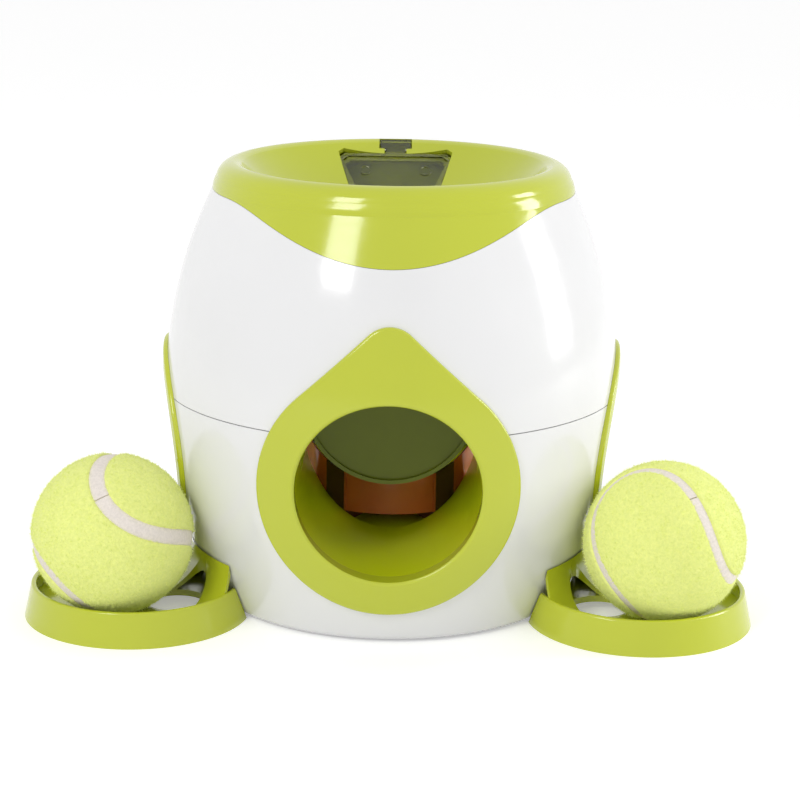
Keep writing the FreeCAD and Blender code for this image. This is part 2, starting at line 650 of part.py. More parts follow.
def loft_box(sections):
    wires = []
    for half_w, y0, y1, z in sections:
        corners = [V(-half_w, y0, z), V(half_w, y0, z), V(half_w, y1, z), V(-half_w, y1, z)]
        corners.append(corners[0])
        wires.append(Part.makePolygon(corners))
    return Part.makeLoft(wires, True, True)


def hopper_duct(inset, over):
    """The hopper's tapering duct, inset by a wall and longer by over at both ends."""
    neck = (HOPPER_HALF_W - inset, HOPPER_FRONT_Y + inset, HOPPER_BACK_Y - inset)
    top = (HOPPER_TOP_HALF_W - inset, HOPPER_TOP_FRONT_Y + inset, HOPPER_TOP_BACK_Y - inset)
    return loft_box([
        neck + (COVER_TOP_Z + SEAT_GAP - over,),
        neck + (HOPPER_NECK_Z,),
        top + (HOPPER_SHOULDER_Z,),
        top + (RIM_Z + over,),
    ])


def treat_hopper():
    inside = hopper_duct(HOPPER_WALL, 5)
    walls = hopper_duct(0, 0).cut(inside)
    boss_y = HOPPER_FRONT_Y + 0.4
    bush_r = CRADLE_AXLE_R + RUN_GAP + BUSH_WALL
    bush_boss = cylinder(bush_r + HOPPER_WALL, V(0, boss_y, PIVOT_Z), V(0, 1, 0), BUSH_LENGTH + 2)
    flange = box(-HOPPER_TOP_HALF_W - 8, HOPPER_TOP_HALF_W + 8, HOPPER_TOP_BACK_Y - 8, HOPPER_TOP_BACK_Y,
                 SHELF_Z + PLATE_T, SHELF_Z + 2 * PLATE_T)
    body = fuse_all([walls, bush_boss, flange.cut(inside)]).common(under_funnel(FIT_GAP))
    body = body.common(barrel(-SHELL_WALL - SPIGOT_WALL - 3 * FIT_GAP, BODY_BOTTOM_Z, RIM_Z))
    body = body.cut(cylinder(bush_r, V(0, HOPPER_FRONT_Y - 2, PIVOT_Z), V(0, 1, 0), BUSH_LENGTH + 2))
    deep = -LID_T - 0.2 - FRAME_T - FIT_GAP
    body = body.cut(on_slope(lid_outline(LID_GAP + FRAME_W + FIT_GAP, LID_LENGTH + 6, deep, 20)))
    ears = box(-PIN_HALF_L - 1, PIN_HALF_L + 1, LID_LENGTH - 4, LID_LENGTH + 4, -8 - FIT_GAP, 20)
    body = body.cut(on_slope(ears))
    for side in (-1, 1):
        at = V(side * HOPPER_SCREW_X, HOPPER_SCREW_Y, SHELF_Z - 5)
        body = body.cut(cylinder(SCREW_R, at, V(0, 0, 1), 15))
    return body


def cradle_bush():
    inner = CRADLE_AXLE_R + RUN_GAP
    return ring(inner, inner + BUSH_WALL, V(0, HOPPER_FRONT_Y, PIVOT_Z), V(0, 1, 0), BUSH_LENGTH)


def swing_room(gap):
    """What the cradle sweeps between its two end positions, grown by gap."""
    lift = CUP_Z - PIVOT_Z
    shapes = []
    for i in range(SWING_STEPS):
        a = math.radians(-CRADLE_SWING + 2 * CRADLE_SWING * i / (SWING_STEPS - 1))
        centre = V(lift * math.sin(a), -CUP_FRONT - 0.6, PIVOT_Z + lift * math.cos(a))
        shapes.append(cylinder(CUP_OUT_R + gap, centre, V(0, 1, 0), 2 * CUP_FRONT + 1.2))
    return shapes[0].fuse(shapes[1:])


def sector_slot():
    half = math.sqrt((SECTOR_R + TOOTH_ADDENDUM) ** 2 - (PIVOT_Z - COVER_TOP_Z) ** 2) + 8
    return box(-half, half, GEAR_Y - SECTOR_WEB / 2 - 1, GEAR_Y + SECTOR_WEB / 2 + 0.6, 40, 60)


def feed_hole():
    half = HOPPER_HALF_W - HOPPER_WALL
    return box(-half, half, HOPPER_FRONT_Y + HOPPER_WALL, HOPPER_BACK_Y - HOPPER_WALL, 40, 60)


def wedge(middle, half):
    """A slice of the wheel's space about its own axis."""
    far = 80.0
    at = V(0, WHEEL_Y, 0)
    points = [at, at + polar(far, middle - half), at + polar(far, middle), at + polar(far, middle + half)]
    return polygon_prism(points, V(0, 0, 120))


def wheel_ring(r_in, r_out, z0, z1):
    return ring(r_in, r_out, V(0, WHEEL_Y, z0), V(0, 0, 1), z1 - z0)


def wheel_guard():
    wall = wheel_ring(GUARD_IN_R, GUARD_OUT_R, DECK_TOP_Z, GUARD_TOP)
    high_front = box(-60, 60, -60, WHEEL_Y - GUARD_BACK, COVER_BOTTOM_Z - 1, 100)
    low = box(-60, 60, -60, 90, 0, COVER_BOTTOM_Z)
    wall = wall.common(high_front.fuse(low))
    inside_chute = cylinder(OUTLET_R - FIT_GAP, V(0, -60, OUTLET_Z), V(0, 1, 0), 120)
    shapes = [wall]
    for side in (-1, 1):
        rib = wheel_ring(GUARD_OUT_R - 0.3, GUARD_OUT_R + GUARD_RIB_H, DECK_TOP_Z, GUARD_TOP)
        rib = rib.common(wedge(-90 + side * 180 / WHEEL_POCKETS, WHEEL_RIB_ANGLE / 2))
        shapes.append(rib.common(inside_chute))
    exit_room = wedge(-90, EXIT_HALF_ANGLE).common(box(-60, 60, -60, 60, DECK_TOP_Z - 1, DECK_TOP_Z + EXIT_H))
    return fuse_all(shapes).cut(exit_room).cut(swing_room(0.6))


def wheel_cover():
    disc = cylinder(GUARD_IN_R - 0.1, V(0, WHEEL_Y, COVER_BOTTOM_Z), V(0, 0, 1), COVER_T)
    seat = wheel_ring(GUARD_IN_R - 1.5, GUARD_OUT_R, COVER_BOTTOM_Z, COVER_TOP_Z)
    rear = box(-60, 60, WHEEL_Y - GUARD_BACK + 0.3, 90, 0, 100)
    body = fuse_all([disc, seat.common(rear)])
    body = body.cut(sector_slot()).cut(feed_hole()).cut(swing_room(0.4))
    return body.cut(cylinder(WHEEL_AXLE_R + FIT_GAP, V(0, WHEEL_Y, 40), V(0, 0, 1), 20))


def treat_wheel():
    bottom = DECK_TOP_Z + WHEEL_PLAY
    rib_top = COVER_BOTTOM_Z - WHEEL_PLAY
    hub = cylinder(WHEEL_HUB_R, V(0, WHEEL_Y, bottom), V(0, 0, 1), CROWN_SEAT_Z - bottom)
    full = wheel_ring(WHEEL_HUB_R - 0.5, WHEEL_R, bottom, CROWN_SEAT_Z)
    full = full.fuse(wheel_ring(CROWN_R + 5.3, WHEEL_R, bottom, rib_top))
    shapes = [hub]
    for i in range(WHEEL_POCKETS):
        mid = -90 + (i + 0.5) * 360 / WHEEL_POCKETS
        shapes.append(full.common(wedge(mid, WHEEL_RIB_ANGLE / 2)))
    body = fuse_all(shapes).cut(wheel_ring(WHEEL_AXLE_R + 3, CROWN_R - 4, bottom + 2, 90))
    return body.cut(cylinder(WHEEL_AXLE_R + RUN_GAP, V(0, WHEEL_Y, 0), V(0, 0, 1), 80))


def tooth_profile():
    """One straight-sided tooth drawn upwards from the pitch line at x = 0."""
    half = TOOTH_W / 2
    lean = math.tan(math.radians(TOOTH_FLANK))
    root = -TOOTH_DEDENDUM - 0.3
    return [(-half + root * lean, root), (half - root * lean, root),
            (half - TOOTH_ADDENDUM * lean, TOOTH_ADDENDUM), (-half + TOOTH_ADDENDUM * lean, TOOTH_ADDENDUM)]


def crown_gear():
    root_z = MESH_Z - TOOTH_DEDENDUM
    base = wheel_ring(CROWN_R - 2.6, CROWN_R + 2.0, CROWN_SEAT_Z, root_z)
    face = ring(CROWN_R - GEAR_FACE / 2, CROWN_R + GEAR_FACE / 2, V(0, 0, 0), V(0, 0, 1), 90)
    profile = [V(x, CROWN_R - 4, MESH_Z + z) for x, z in tooth_profile()]
    blank = polygon_prism(profile, V(0, 8, 0)).common(face)
    shapes = [base]
    for i in range(CROWN_TEETH):
        angle = (i + 0.5) * 360 / CROWN_TEETH
        shapes.append(moved(spun(blank, angle), V(0, WHEEL_Y, 0)))
    return fuse_all(shapes)


def down_slice(centre_z, half, y0, y1):
    """A downward slice about an axis along Y."""
    far = 70.0
    points = [V(0, y0, centre_z)]
    for share in (-1, -0.5, 0, 0.5, 1):
        a = math.radians(share * half)
        points.append(V(far * math.sin(a), y0, centre_z - far * math.cos(a)))
    return polygon_prism(points, V(0, y1 - y0, 0))


def sector_gear():
    y0 = GEAR_Y - GEAR_FACE / 2
    root_r = SECTOR_R - TOOTH_DEDENDUM
    at = V(0, y0, PIVOT_Z)
    rim = ring(root_r - SECTOR_WEB, root_r, at, V(0, 1, 0), GEAR_FACE)
    sector = rim.common(down_slice(PIVOT_Z, SECTOR_HALF_ANGLE, 0, 90))
    shapes = [sector, cylinder(CRADLE_HUB_R, at, V(0, 1, 0), GEAR_FACE)]
    for share in (-0.75, 0, 0.75):
        arm = box(-SECTOR_WEB / 2, SECTOR_WEB / 2, y0, y0 + GEAR_FACE, PIVOT_Z - root_r + 1, PIVOT_Z)
        arm.rotate(V(0, 0, PIVOT_Z), V(0, 1, 0), share * SECTOR_HALF_ANGLE)
        shapes.append(arm)
    profile = [V(x, y0, PIVOT_Z - SECTOR_R - z) for x, z in tooth_profile()]
    blank = polygon_prism(profile, V(0, GEAR_FACE, 0))
    count = int(SECTOR_HALF_ANGLE * SECTOR_TEETH / 360)
    for i in range(-count, count + 1):
        tooth = blank.copy()
        tooth.rotate(V(0, 0, PIVOT_Z), V(0, 1, 0), i * 360 / SECTOR_TEETH)
        shapes.append(tooth)
    return fuse_all(shapes).cut(cylinder(CRADLE_AXLE_R, V(0, 0, PIVOT_Z), V(0, 1, 0), 90))


def ball_cradle():
    trough = ring(CUP_IN_R, CUP_OUT_R, V(0, -CUP_HALF_LENGTH, CUP_Z), V(0, 1, 0), 2 * CUP_HALF_LENGTH)
    trough = trough.common(down_slice(CUP_Z, CUP_HALF_ANGLE, -50, 50))
    keep = box(-60, 60, -60, 60, 0, CUP_Z + CUP_PLATE_TOP)
    front_y = -CUP_HALF_LENGTH - CUP_WALL
    front = cylinder(CUP_OUT_R, V(0, front_y, CUP_Z), V(0, 1, 0), CUP_WALL)
    rim = ring(CUP_OUT_R - CUP_RIM_W, CUP_OUT_R, V(0, front_y - CUP_RIM_H, CUP_Z), V(0, 1, 0), CUP_RIM_H)
    back = cylinder(CUP_OUT_R, V(0, CUP_HALF_LENGTH, CUP_Z), V(0, 1, 0), CUP_WALL)
    hub_y = CUP_HALF_LENGTH + CUP_WALL - 0.5
    hub = cylinder(CRADLE_HUB_R, V(0, hub_y, PIVOT_Z), V(0, 1, 0), GEAR_Y - GEAR_FACE / 2 - hub_y)
    plates = [shape.common(keep) for shape in (front, rim, back)]
    body = fuse_all(plates + [trough, hub])
    return body.cut(cylinder(CRADLE_AXLE_R, V(0, CUP_HALF_LENGTH + 0.6, PIVOT_Z), V(0, 1, 0), 60))


def cradle_axle():
    start = CUP_HALF_LENGTH + 0.6
    length = HOPPER_FRONT_Y + BUSH_LENGTH - 0.4 - start
    return cylinder(CRADLE_AXLE_R, V(0, start, PIVOT_Z), V(0, 1, 0), length)


def wheel_axle():
    start = DECK_TOP_Z - WHEEL_BORE_DEPTH + 1.5
    return cylinder(WHEEL_AXLE_R, V(0, WHEEL_Y, start), V(0, 0, 1), COVER_BOTTOM_Z + 1.4 - start)


def tray_room():
    """The space inside the middle of the ring tray's wall, widened towards the outlet beside it."""
    at = V(TRAY_X, TRAY_Y, 0)
    return cylinder(TRAY_TOP_R - TRAY_WALL / 2, at, V(0, 0, 1), 60)


def tray_ramp():
    """The concave slope that hugs the body from the outlet's lip down to the tray's floor."""
    top_r = barrel_r(RAMP_TOP_Z, TRAY_GAP)
    foot_r = top_r + RAMP_FOOT_OUT
    foot_z = TRAY_FLOOR_Z - 0.4
    mid = V(top_r + RAMP_FOOT_OUT * 0.36, 0, foot_z + (RAMP_TOP_Z - foot_z) * 0.36)
    drop = V(0, 0, -RAMP_T)
    edges = [
        arc3(V(top_r, 0, RAMP_TOP_Z), mid, V(foot_r, 0, foot_z)),
        Part.makeLine(V(foot_r, 0, foot_z), V(foot_r, 0, foot_z) + drop),
        arc3(V(foot_r, 0, foot_z) + drop, mid + drop * 1.4, V(top_r - 2, 0, RAMP_TOP_Z) + drop),
        Part.makeLine(V(top_r - 2, 0, RAMP_TOP_Z) + drop, V(top_r, 0, RAMP_TOP_Z)),
    ]
    return revolved(edges)


def beside_bezel():
    """The room that the right bezel needs where the tray reaches it."""
    room = barrel(BEZEL_PROUD + FIT_GAP, 5, BEZEL_APEX_Z).common(round_outline(-FIT_GAP, BIG))
    return spun(room, 90)


def tray():
    """The right-hand ring tray."""
    at = V(TRAY_X, TRAY_Y, 0)
    outer = Part.makeCone(TRAY_R, TRAY_TOP_R, TRAY_H, at, V(0, 0, 1))
    wall = outer.cut(Part.makeCone(TRAY_R - TRAY_WALL, TRAY_TOP_R - TRAY_WALL, TRAY_H, at, V(0, 0, 1)))
    top = [e for e in wall.Edges if e.BoundBox.ZMin > TRAY_H - 0.1]
    wall = wall.makeFillet(TRAY_WALL / 2 - 0.25, top)
    share = (TRAY_FLOOR_Z - TRAY_FLOOR_T / 2) / TRAY_H
    floor_r = TRAY_R - share * (TRAY_R - TRAY_TOP_R) - TRAY_WALL + 0.8
    floor = cylinder(floor_r, at + V(0, 0, TRAY_FLOOR_Z - TRAY_FLOOR_T), V(0, 0, 1), TRAY_FLOOR_T)
    window = cylinder(WINDOW_R, V(WINDOW_X, WINDOW_Y, 0), V(0, 0, 1), 40)
    tongue = box(barrel_r(TONGUE_Z) - TONGUE_REACH, barrel_r(TONGUE_Z) + 7, -TONGUE_W / 2, TONGUE_W / 2,
                 TONGUE_Z - TONGUE_T / 2, TONGUE_Z + TONGUE_T / 2)
    body = fuse_all([wall, floor, tray_ramp().common(tray_room())]).cut(window)
    body = body.cut(barrel(TRAY_GAP, -0.5, RAMP_TOP_Z + 12)).cut(beside_bezel())
    seat = Part.makeSphere(BALL_R + FIT_GAP, V(BALL_X, BALL_Y, BALL_Z))
    return fuse_all([body, tongue]).cut(seat)


def ball_pieces(at):
    """A hollow rubber core and the felt around it."""
    core = Part.makeSphere(CORE_R - SEAT_GAP, at).cut(Part.makeSphere(CORE_R - CORE_WALL, at))
    felt = Part.makeSphere(BALL_R, at).cut(Part.makeSphere(CORE_R, at))
    return {"core": core, "felt": felt}


def base_cover():
    plate = cylinder(COVER_PLATE_R, V(0, 0, BODY_BOTTOM_Z), V(0, 0, 1), PLATE_T)
    for angle in FOOT_ANGLES:
        pad = cylinder(FOOT_R + 2, polar(FOOT_PLACE_R, angle, BODY_BOTTOM_Z), V(0, 0, 1), PLATE_T + FOOT_SINK)
        plate = plate.fuse(pad)
    for angle in FOOT_ANGLES:
        place = polar(FOOT_PLACE_R, angle, 0)
        plate = plate.cut(cylinder(FOOT_R, place, V(0, 0, 1), BODY_BOTTOM_Z + FOOT_SINK))
    for angle in COVER_SCREW_ANGLES:
        at = polar(BOSS_PLACE_R, angle, BODY_BOTTOM_Z)
        plate = plate.cut(cylinder(SCREW_R + FIT_GAP, at, V(0, 0, 1), 10))
        plate = plate.cut(Part.makeCone(SCREW_HEAD_R + 0.1, SCREW_R, SCREW_HEAD_H - 0.6, at, V(0, 0, 1)))
    for angle in BOSS_ANGLES:
        plate = plate.cut(cylinder(SCREW_HEAD_R + FIT_GAP, polar(BOSS_PLACE_R, angle, 0), V(0, 0, 1), 10))
    return plate


def rubber_feet():
    feet = []
    for angle in FOOT_ANGLES:
        place = polar(FOOT_PLACE_R, angle, 0)
        foot = cylinder(FOOT_R - SEAT_GAP, place, V(0, 0, 1), BODY_BOTTOM_Z + FOOT_SINK)
        feet.append(foot)
    return Part.makeCompound(feet)


def screw(at, direction, length):
    """A pan-head screw with its head's underside at the given point."""
    slim = SCREW_R - SEAT_GAP
    head = cylinder(SCREW_HEAD_R, at - direction * SCREW_HEAD_H, direction, SCREW_HEAD_H)
    cross = SCREW_HEAD_R * 0.6
    recess = centred_box(cross, 0.4, -1, 1).fuse(centred_box(0.4, cross, -1, 1))
    turn = FreeCAD.Rotation(V(0, 0, 1), direction)
    recess.Placement = FreeCAD.Placement(at - direction * SCREW_HEAD_H, turn)
    return head.fuse(cylinder(slim, at, direction, length)).cut(recess)


def flush_screw(at, direction, length):
    slim = SCREW_R - SEAT_GAP
    cone = Part.makeCone(SCREW_HEAD_R, slim, SCREW_HEAD_H - 0.6, at, direction)
    return cone.fuse(cylinder(slim, at, direction, length))


UP = V(0, 0, 1)
DOWN = V(0, 0, -1)


def screw_groups():
    shells = [screw(polar(BOSS_PLACE_R, a, SHELL_SCREW_Z), UP, SHELL_SCREW_L) for a in BOSS_ANGLES]
    places = [polar(BOSS_PLACE_R, a, BODY_BOTTOM_Z) for a in COVER_SCREW_ANGLES]
    cover = [flush_screw(place, UP, COVER_SCREW_TOP - 3) for place in places]
    funnel = [screw(polar(FUNNEL_BOSS_R, a, SHELF_Z), UP, FUNNEL_SCREW_L - 2) for a in FUNNEL_SCREW_ANGLES]
    chute_places = [V(x, CHUTE_POST_Y, DECK_TOP_Z) for x in (-CHUTE_POST_X, CHUTE_POST_X)]
    chute = [screw(place, DOWN, CHUTE_SCREW_L - 1) for place in chute_places]
    hopper = [screw(V(x, HOPPER_SCREW_Y, SHELF_Z + 2 * PLATE_T), DOWN, 2 * PLATE_T)
              for x in (-HOPPER_SCREW_X, HOPPER_SCREW_X)]
    return {"shell_screws": shells, "base_screws": cover, "funnel_screws": funnel, "chute_screws": chute,
            "hopper_screws": hopper}


def build_nodes():
    side_bezel = bezel(round_outline(0, BIG))
    ramp = ball_ramp()
    ring_tray = tray()
    nodes = {
        "lower_housing": lower_housing(),
        "upper_housing": upper_housing(),
        "top_funnel": top_funnel(),
        "front_bezel": bezel(bezel_outline(0, BIG)),
        "left_bezel": spun(side_bezel, -90),
        "right_bezel": spun(side_bezel, 90),
        "treat_chute": treat_chute(),
        "right_ball_ramp": ramp,
        "left_ball_ramp": mirrored(ramp),
        "treat_hopper": treat_hopper(),
        "wheel_guard": wheel_guard(),
        "wheel_cover": wheel_cover(),
        "wheel_axle": wheel_axle(),
        "cradle_bush": cradle_bush(),
        "base_cover": base_cover(),
        "rubber_feet": rubber_feet(),
        "lid_hinge_pin": lid_pin(),
        "hopper_lid": hopper_lid(),
        "ball_cradle": ball_cradle(),
        "cradle_axle": cradle_axle(),
        "sector_gear": sector_gear(),
        "treat_wheel": treat_wheel(),
        "crown_gear": crown_gear(),
        "right_tray": ring_tray,
        "left_tray": mirrored(ring_tray),
    }
    for name, screws in screw_groups().items():
        nodes[name] = Part.makeCompound(screws)
    for side, sign in (("left", -1), ("right", 1)):
        for kind, piece in ball_pieces(V(sign * BALL_X, BALL_Y, BALL_Z)).items():
            nodes[side + "_ball_" + kind] = piece
    return nodes


def main():
    os.makedirs("parts", exist_ok=True)
    for name, shape in build_nodes().items():
        shape.exportStep("parts/" + name + ".step")
        print(name, len(shape.Solids), round(shape.Volume, 1))


main()
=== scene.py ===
import math
import random

import bmesh
import bpy
from mathutils import Matrix, Vector
from mathutils.kdtree import KDTree

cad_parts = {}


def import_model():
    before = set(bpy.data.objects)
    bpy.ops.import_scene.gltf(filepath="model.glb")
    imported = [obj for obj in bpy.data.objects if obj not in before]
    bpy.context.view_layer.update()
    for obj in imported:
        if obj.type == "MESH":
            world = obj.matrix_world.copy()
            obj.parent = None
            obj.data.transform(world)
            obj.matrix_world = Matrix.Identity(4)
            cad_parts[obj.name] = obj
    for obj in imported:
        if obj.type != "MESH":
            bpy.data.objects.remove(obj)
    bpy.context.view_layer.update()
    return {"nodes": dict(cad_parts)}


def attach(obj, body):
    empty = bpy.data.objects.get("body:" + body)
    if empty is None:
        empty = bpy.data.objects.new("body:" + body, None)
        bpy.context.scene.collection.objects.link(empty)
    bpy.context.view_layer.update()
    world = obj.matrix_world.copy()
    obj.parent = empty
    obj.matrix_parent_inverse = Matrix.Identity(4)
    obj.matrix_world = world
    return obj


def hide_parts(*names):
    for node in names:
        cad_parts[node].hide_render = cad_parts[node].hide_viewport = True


# Lengths are in metres and angles in degrees, unless a name says otherwise.
# The frame is the CAD part's own: front along -Y, +X on the right, ground at z = 0.

# Camera, fitted to the photograph
CAMERA_AT = Vector((0.0, -0.9, 0.31466))
CAMERA_PITCH = 14.588
CAMERA_YAW = 0.2348
CAMERA_ROLL = 0.7787
OBJECT_TURN = 0.484
LENS_MM = 99.03
SENSOR_MM = 36.0

# Felt balls
BALL_R = 0.0325
BALL_AT = {"left": Vector((-0.1112, -0.0555, 0.0375)), "right": Vector((0.1112, -0.0555, 0.0375))}
FELT_FINENESS = 7
FELT_TUFT = 0.00014

# The wavy seam of each ball: how it is turned, the shares of its two waves, and where its ends meet
SEAM_TURN = {"left": (79.6, -5.3, -22.9), "right": (43.0, 1.3, -153.0)}
SEAM_A = 0.8
SEAM_B = 0.2
SEAM_STEPS = 720
SEAM_JOIN = Vector((-0.006, -0.719, 0.695))

# The band in the seam, and how the felt dips under it
BAND_HALF_W = {"left": 0.0032, "right": 0.0021}
BAND_TUCK = 0.0004
BAND_DEPTH = 0.0005
BAND_CROWN = 0.00025
BAND_THICKNESS = 0.0009
BAND_STRIPS = 6
FELT_DIP = 0.0014
DIP_START = 0.0006
DIP_RUN = 0.0012

# The felt's nap
NAP_COUNT = 16000
NAP_LENGTH = 0.0019
NAP_SHORTEST = 0.5
NAP_WIDTH = 0.0002
NAP_SIDES = 3
NAP_ROOT_DEPTH = 0.0003
NAP_LEAN = 0.9

# The two bars on the treat guard, about the wheel's axis, where the guard carries painted shade
WHEEL_Y = 0.022
BAR_ANGLE = 37.0
BAR_HALF = 7.0
BAR_FADE = 0.8

# Colours, linear
WHITE = (0.83, 0.83, 0.835)
LIME = (0.525, 0.58, 0.024)
INNER_LIME = (0.60, 0.68, 0.008)
# Painted shade: the inner green darkened for the cradle inside the body
CRADLE_SHADED_LIME = (0.15, 0.175, 0.002)
SMOKED = (0.68, 0.69, 0.50)
RED_CLEAR = (0.80, 0.19, 0.05)
# Painted shade for the guard's two bars
BAR_PAINTED_SHADE = (0.10, 0.035, 0.02)
GEAR_WHITE = (0.74, 0.73, 0.68)
WHEEL_BROWN = (0.16, 0.045, 0.025)
STEEL = (0.66, 0.66, 0.68)
BRASS = (0.62, 0.44, 0.18)
FOOT_BLACK = (0.018, 0.018, 0.019)
CORE_BLACK = (0.05, 0.05, 0.045)
FELT = (0.90, 1.0, 0.30)
FELT_SHEEN = (0.93, 1.0, 0.6)
BAND = (0.84, 0.77, 0.71)

# Studio: the level at which the world lights the object, and at which it is seen
WORLD_LIGHT = 0.70
WORLD_SEEN = 1.0
FLOOR_HALF = 12.0
FLOOR_COLOUR = (0.90, 0.90, 0.90)
FLOOR_GLOW = 0.32

# Lamps: name, place, the point that it faces, width, height and watts
LAMPS = (
    ("key_left", (-0.75, -1.25, 1.1), (0, 0, 0.1), 0.5, 0.7, 9),
    ("strip_right", (1.15, 0.05, 0.38), (0, 0, 0.12), 0.32, 0.55, 5),
)


def socket(node, name, value):
    node.inputs[name].default_value = value


def new_material(name):
    """A node material, its Principled shader and its texture coordinates."""
    material = bpy.data.materials.new(name)
    material.use_nodes = True
    nodes = material.node_tree.nodes
    return material, nodes["Principled BSDF"], nodes.new("ShaderNodeTexCoord")


def noise(material, coords, scale, detail, rough=0.5, stretch=None):
    """The value of a noise in the object's own coordinates, which may be stretched along the axes."""
    nodes, links = material.node_tree.nodes, material.node_tree.links
    texture = nodes.new("ShaderNodeTexNoise")
    socket(texture, "Scale", scale)
    socket(texture, "Detail", detail)
    socket(texture, "Roughness", rough)
    source = coords.outputs["Object"]
    if stretch:
        mapping = nodes.new("ShaderNodeMapping")
        socket(mapping, "Scale", stretch)
        links.new(source, mapping.inputs["Vector"])
        source = mapping.outputs["Vector"]
    links.new(source, texture.inputs["Vector"])
    return texture.outputs["Fac"]


def remap(material, value, low, high, start=0.3, end=0.7):
    """The value stretched so that start becomes low and end becomes high."""
    nodes, links = material.node_tree.nodes, material.node_tree.links
    node = nodes.new("ShaderNodeMapRange")
    socket(node, "From Min", start)
    socket(node, "From Max", end)
    socket(node, "To Min", low)
    socket(node, "To Max", high)
    links.new(value, node.inputs["Value"])
    return node.outputs["Result"]


def calculate(material, operation, *values):
    """The result socket of one Math node, whose inputs are numbers or other sockets."""
    nodes, links = material.node_tree.nodes, material.node_tree.links
    node = nodes.new("ShaderNodeMath")
    node.operation = operation
    for place, value in zip(node.inputs, values):
        if isinstance(value, (int, float)):
            place.default_value = value
        else:
            links.new(value, place)
    return node.outputs[0]


def shade(colour, factor):
    return tuple(min(1.0, part * factor) for part in colour)


def tint(material, shader, value, dark, light, start=0.35, end=0.65):
    """Colours the shader from dark to light along the value."""
    nodes, links = material.node_tree.nodes, material.node_tree.links
    ramp = nodes.new("ShaderNodeValToRGB")
    for element, position, colour in zip(ramp.color_ramp.elements, (start, end), (dark, light)):
        element.position = position
        element.color = (*colour, 1)
    links.new(value, ramp.inputs["Fac"])
    links.new(ramp.outputs["Color"], shader.inputs["Base Color"])


def roughen(material, shader, value, rough):
    """Spreads the shader's roughness over the range rough along the value."""
    material.node_tree.links.new(remap(material, value, *rough), shader.inputs["Roughness"])


def bump(material, shader, value, strength, distance):
    nodes, links = material.node_tree.nodes, material.node_tree.links
    node = nodes.new("ShaderNodeBump")
    socket(node, "Strength", strength)
    socket(node, "Distance", distance)
    links.new(value, node.inputs["Height"])
    links.new(node.outputs["Normal"], shader.inputs["Normal"])


def gloss_plastic(name, colour, rough=(0.10, 0.20), grain=0.05, coat=0.25, specular=0.5):
    """Moulded glossy plastic: faint colour flow, hairline scuffs in the gloss and a fine orange peel."""
    material, shader, coords = new_material(name)
    flow = noise(material, coords, scale=9.0, detail=3.0)
    tint(material, shader, flow, shade(colour, 0.965), shade(colour, 1.02))
    scuffs = noise(material, coords, scale=60.0, detail=8.0, rough=0.7, stretch=(1.0, 1.0, 7.0))
    roughen(material, shader, scuffs, rough)
    socket(shader, "IOR", 1.53)
    socket(shader, "Specular IOR Level", specular)
    socket(shader, "Coat Weight", coat)
    socket(shader, "Coat Roughness", 0.06)
    peel = noise(material, coords, scale=420.0, detail=3.0)
    bump(material, shader, peel, strength=grain, distance=0.0004)
    return material


def matte_plastic(name, colour):
    """Plain moulded plastic with a fine spark-eroded grain."""
    material, shader, coords = new_material(name)
    flow = noise(material, coords, scale=25.0, detail=5.0)
    tint(material, shader, flow, shade(colour, 0.9), shade(colour, 1.05))
    roughen(material, shader, noise(material, coords, scale=130.0, detail=6.0), (0.38, 0.55))
    grain = noise(material, coords, scale=1400.0, detail=4.0)
    bump(material, shader, grain, strength=0.12, distance=0.0002)
    return material


def clear_plastic(name, colour, rough=(0.03, 0.10), transmission=1.0):
    """Tinted see-through plastic with faint flow lines and a little haze."""
    material, shader, coords = new_material(name)
    flow = noise(material, coords, scale=40.0, detail=4.0, stretch=(1.0, 4.0, 1.0))
    tint(material, shader, flow, shade(colour, 0.88), shade(colour, 1.08))
    roughen(material, shader, noise(material, coords, scale=90.0, detail=7.0), rough)
    socket(shader, "Transmission Weight", transmission)
    socket(shader, "IOR", 1.49)
    ripple = noise(material, coords, scale=300.0, detail=3.0)
    bump(material, shader, ripple, strength=0.04, distance=0.0003)
    return material


def bar_shaded_plastic(name, colour, bar_shade_colour):
    """The treat guard's red see-through plastic, with painted shade where its two upright bars stand."""
    material = clear_plastic(name, colour, (0.10, 0.22), 0.45)
    nodes, links = material.node_tree.nodes, material.node_tree.links
    shader = nodes["Principled BSDF"]
    plain = shader.inputs["Base Color"].links[0].from_socket
    place = nodes.new("ShaderNodeSeparateXYZ")
    links.new(nodes["Texture Coordinate"].outputs["Object"], place.inputs["Vector"])
    ahead = calculate(material, "SUBTRACT", WHEEL_Y, place.outputs["Y"])
    around = calculate(material, "ARCTAN2", place.outputs["X"], ahead)
    from_front = calculate(material, "ABSOLUTE", around)
    off_bar = calculate(material, "SUBTRACT", from_front, math.radians(BAR_ANGLE))
    distance = calculate(material, "ABSOLUTE", off_bar)
    edge, end = math.radians(BAR_HALF), math.radians(BAR_HALF + BAR_FADE)
    # Painted shade: the guard's colour turns to the bar colour over the bars
    mix = nodes.new("ShaderNodeMix")
    mix.data_type = "RGBA"
    colour_a, colour_b = (pin for pin in mix.inputs if pin.type == "RGBA")
    result = next(pin for pin in mix.outputs if pin.type == "RGBA")
    links.new(remap(material, distance, 1.0, 0.0, edge, end), mix.inputs["Factor"])
    links.new(plain, colour_a)
    colour_b.default_value = (*bar_shade_colour, 1)
    links.new(result, shader.inputs["Base Color"])
    return material


def metal(name, colour, rough=(0.18, 0.34)):
    """Turned or drawn metal with an uneven sheen."""
    material, shader, coords = new_material(name)
    tone = noise(material, coords, scale=80.0, detail=6.0)
    tint(material, shader, tone, shade(colour, 0.82), shade(colour, 1.05))
    socket(shader, "Metallic", 1.0)
    scratches = noise(material, coords, scale=900.0, detail=5.0, rough=0.6)
    roughen(material, shader, scratches, rough)
    bump(material, shader, scratches, strength=0.08, distance=0.0001)
    return material


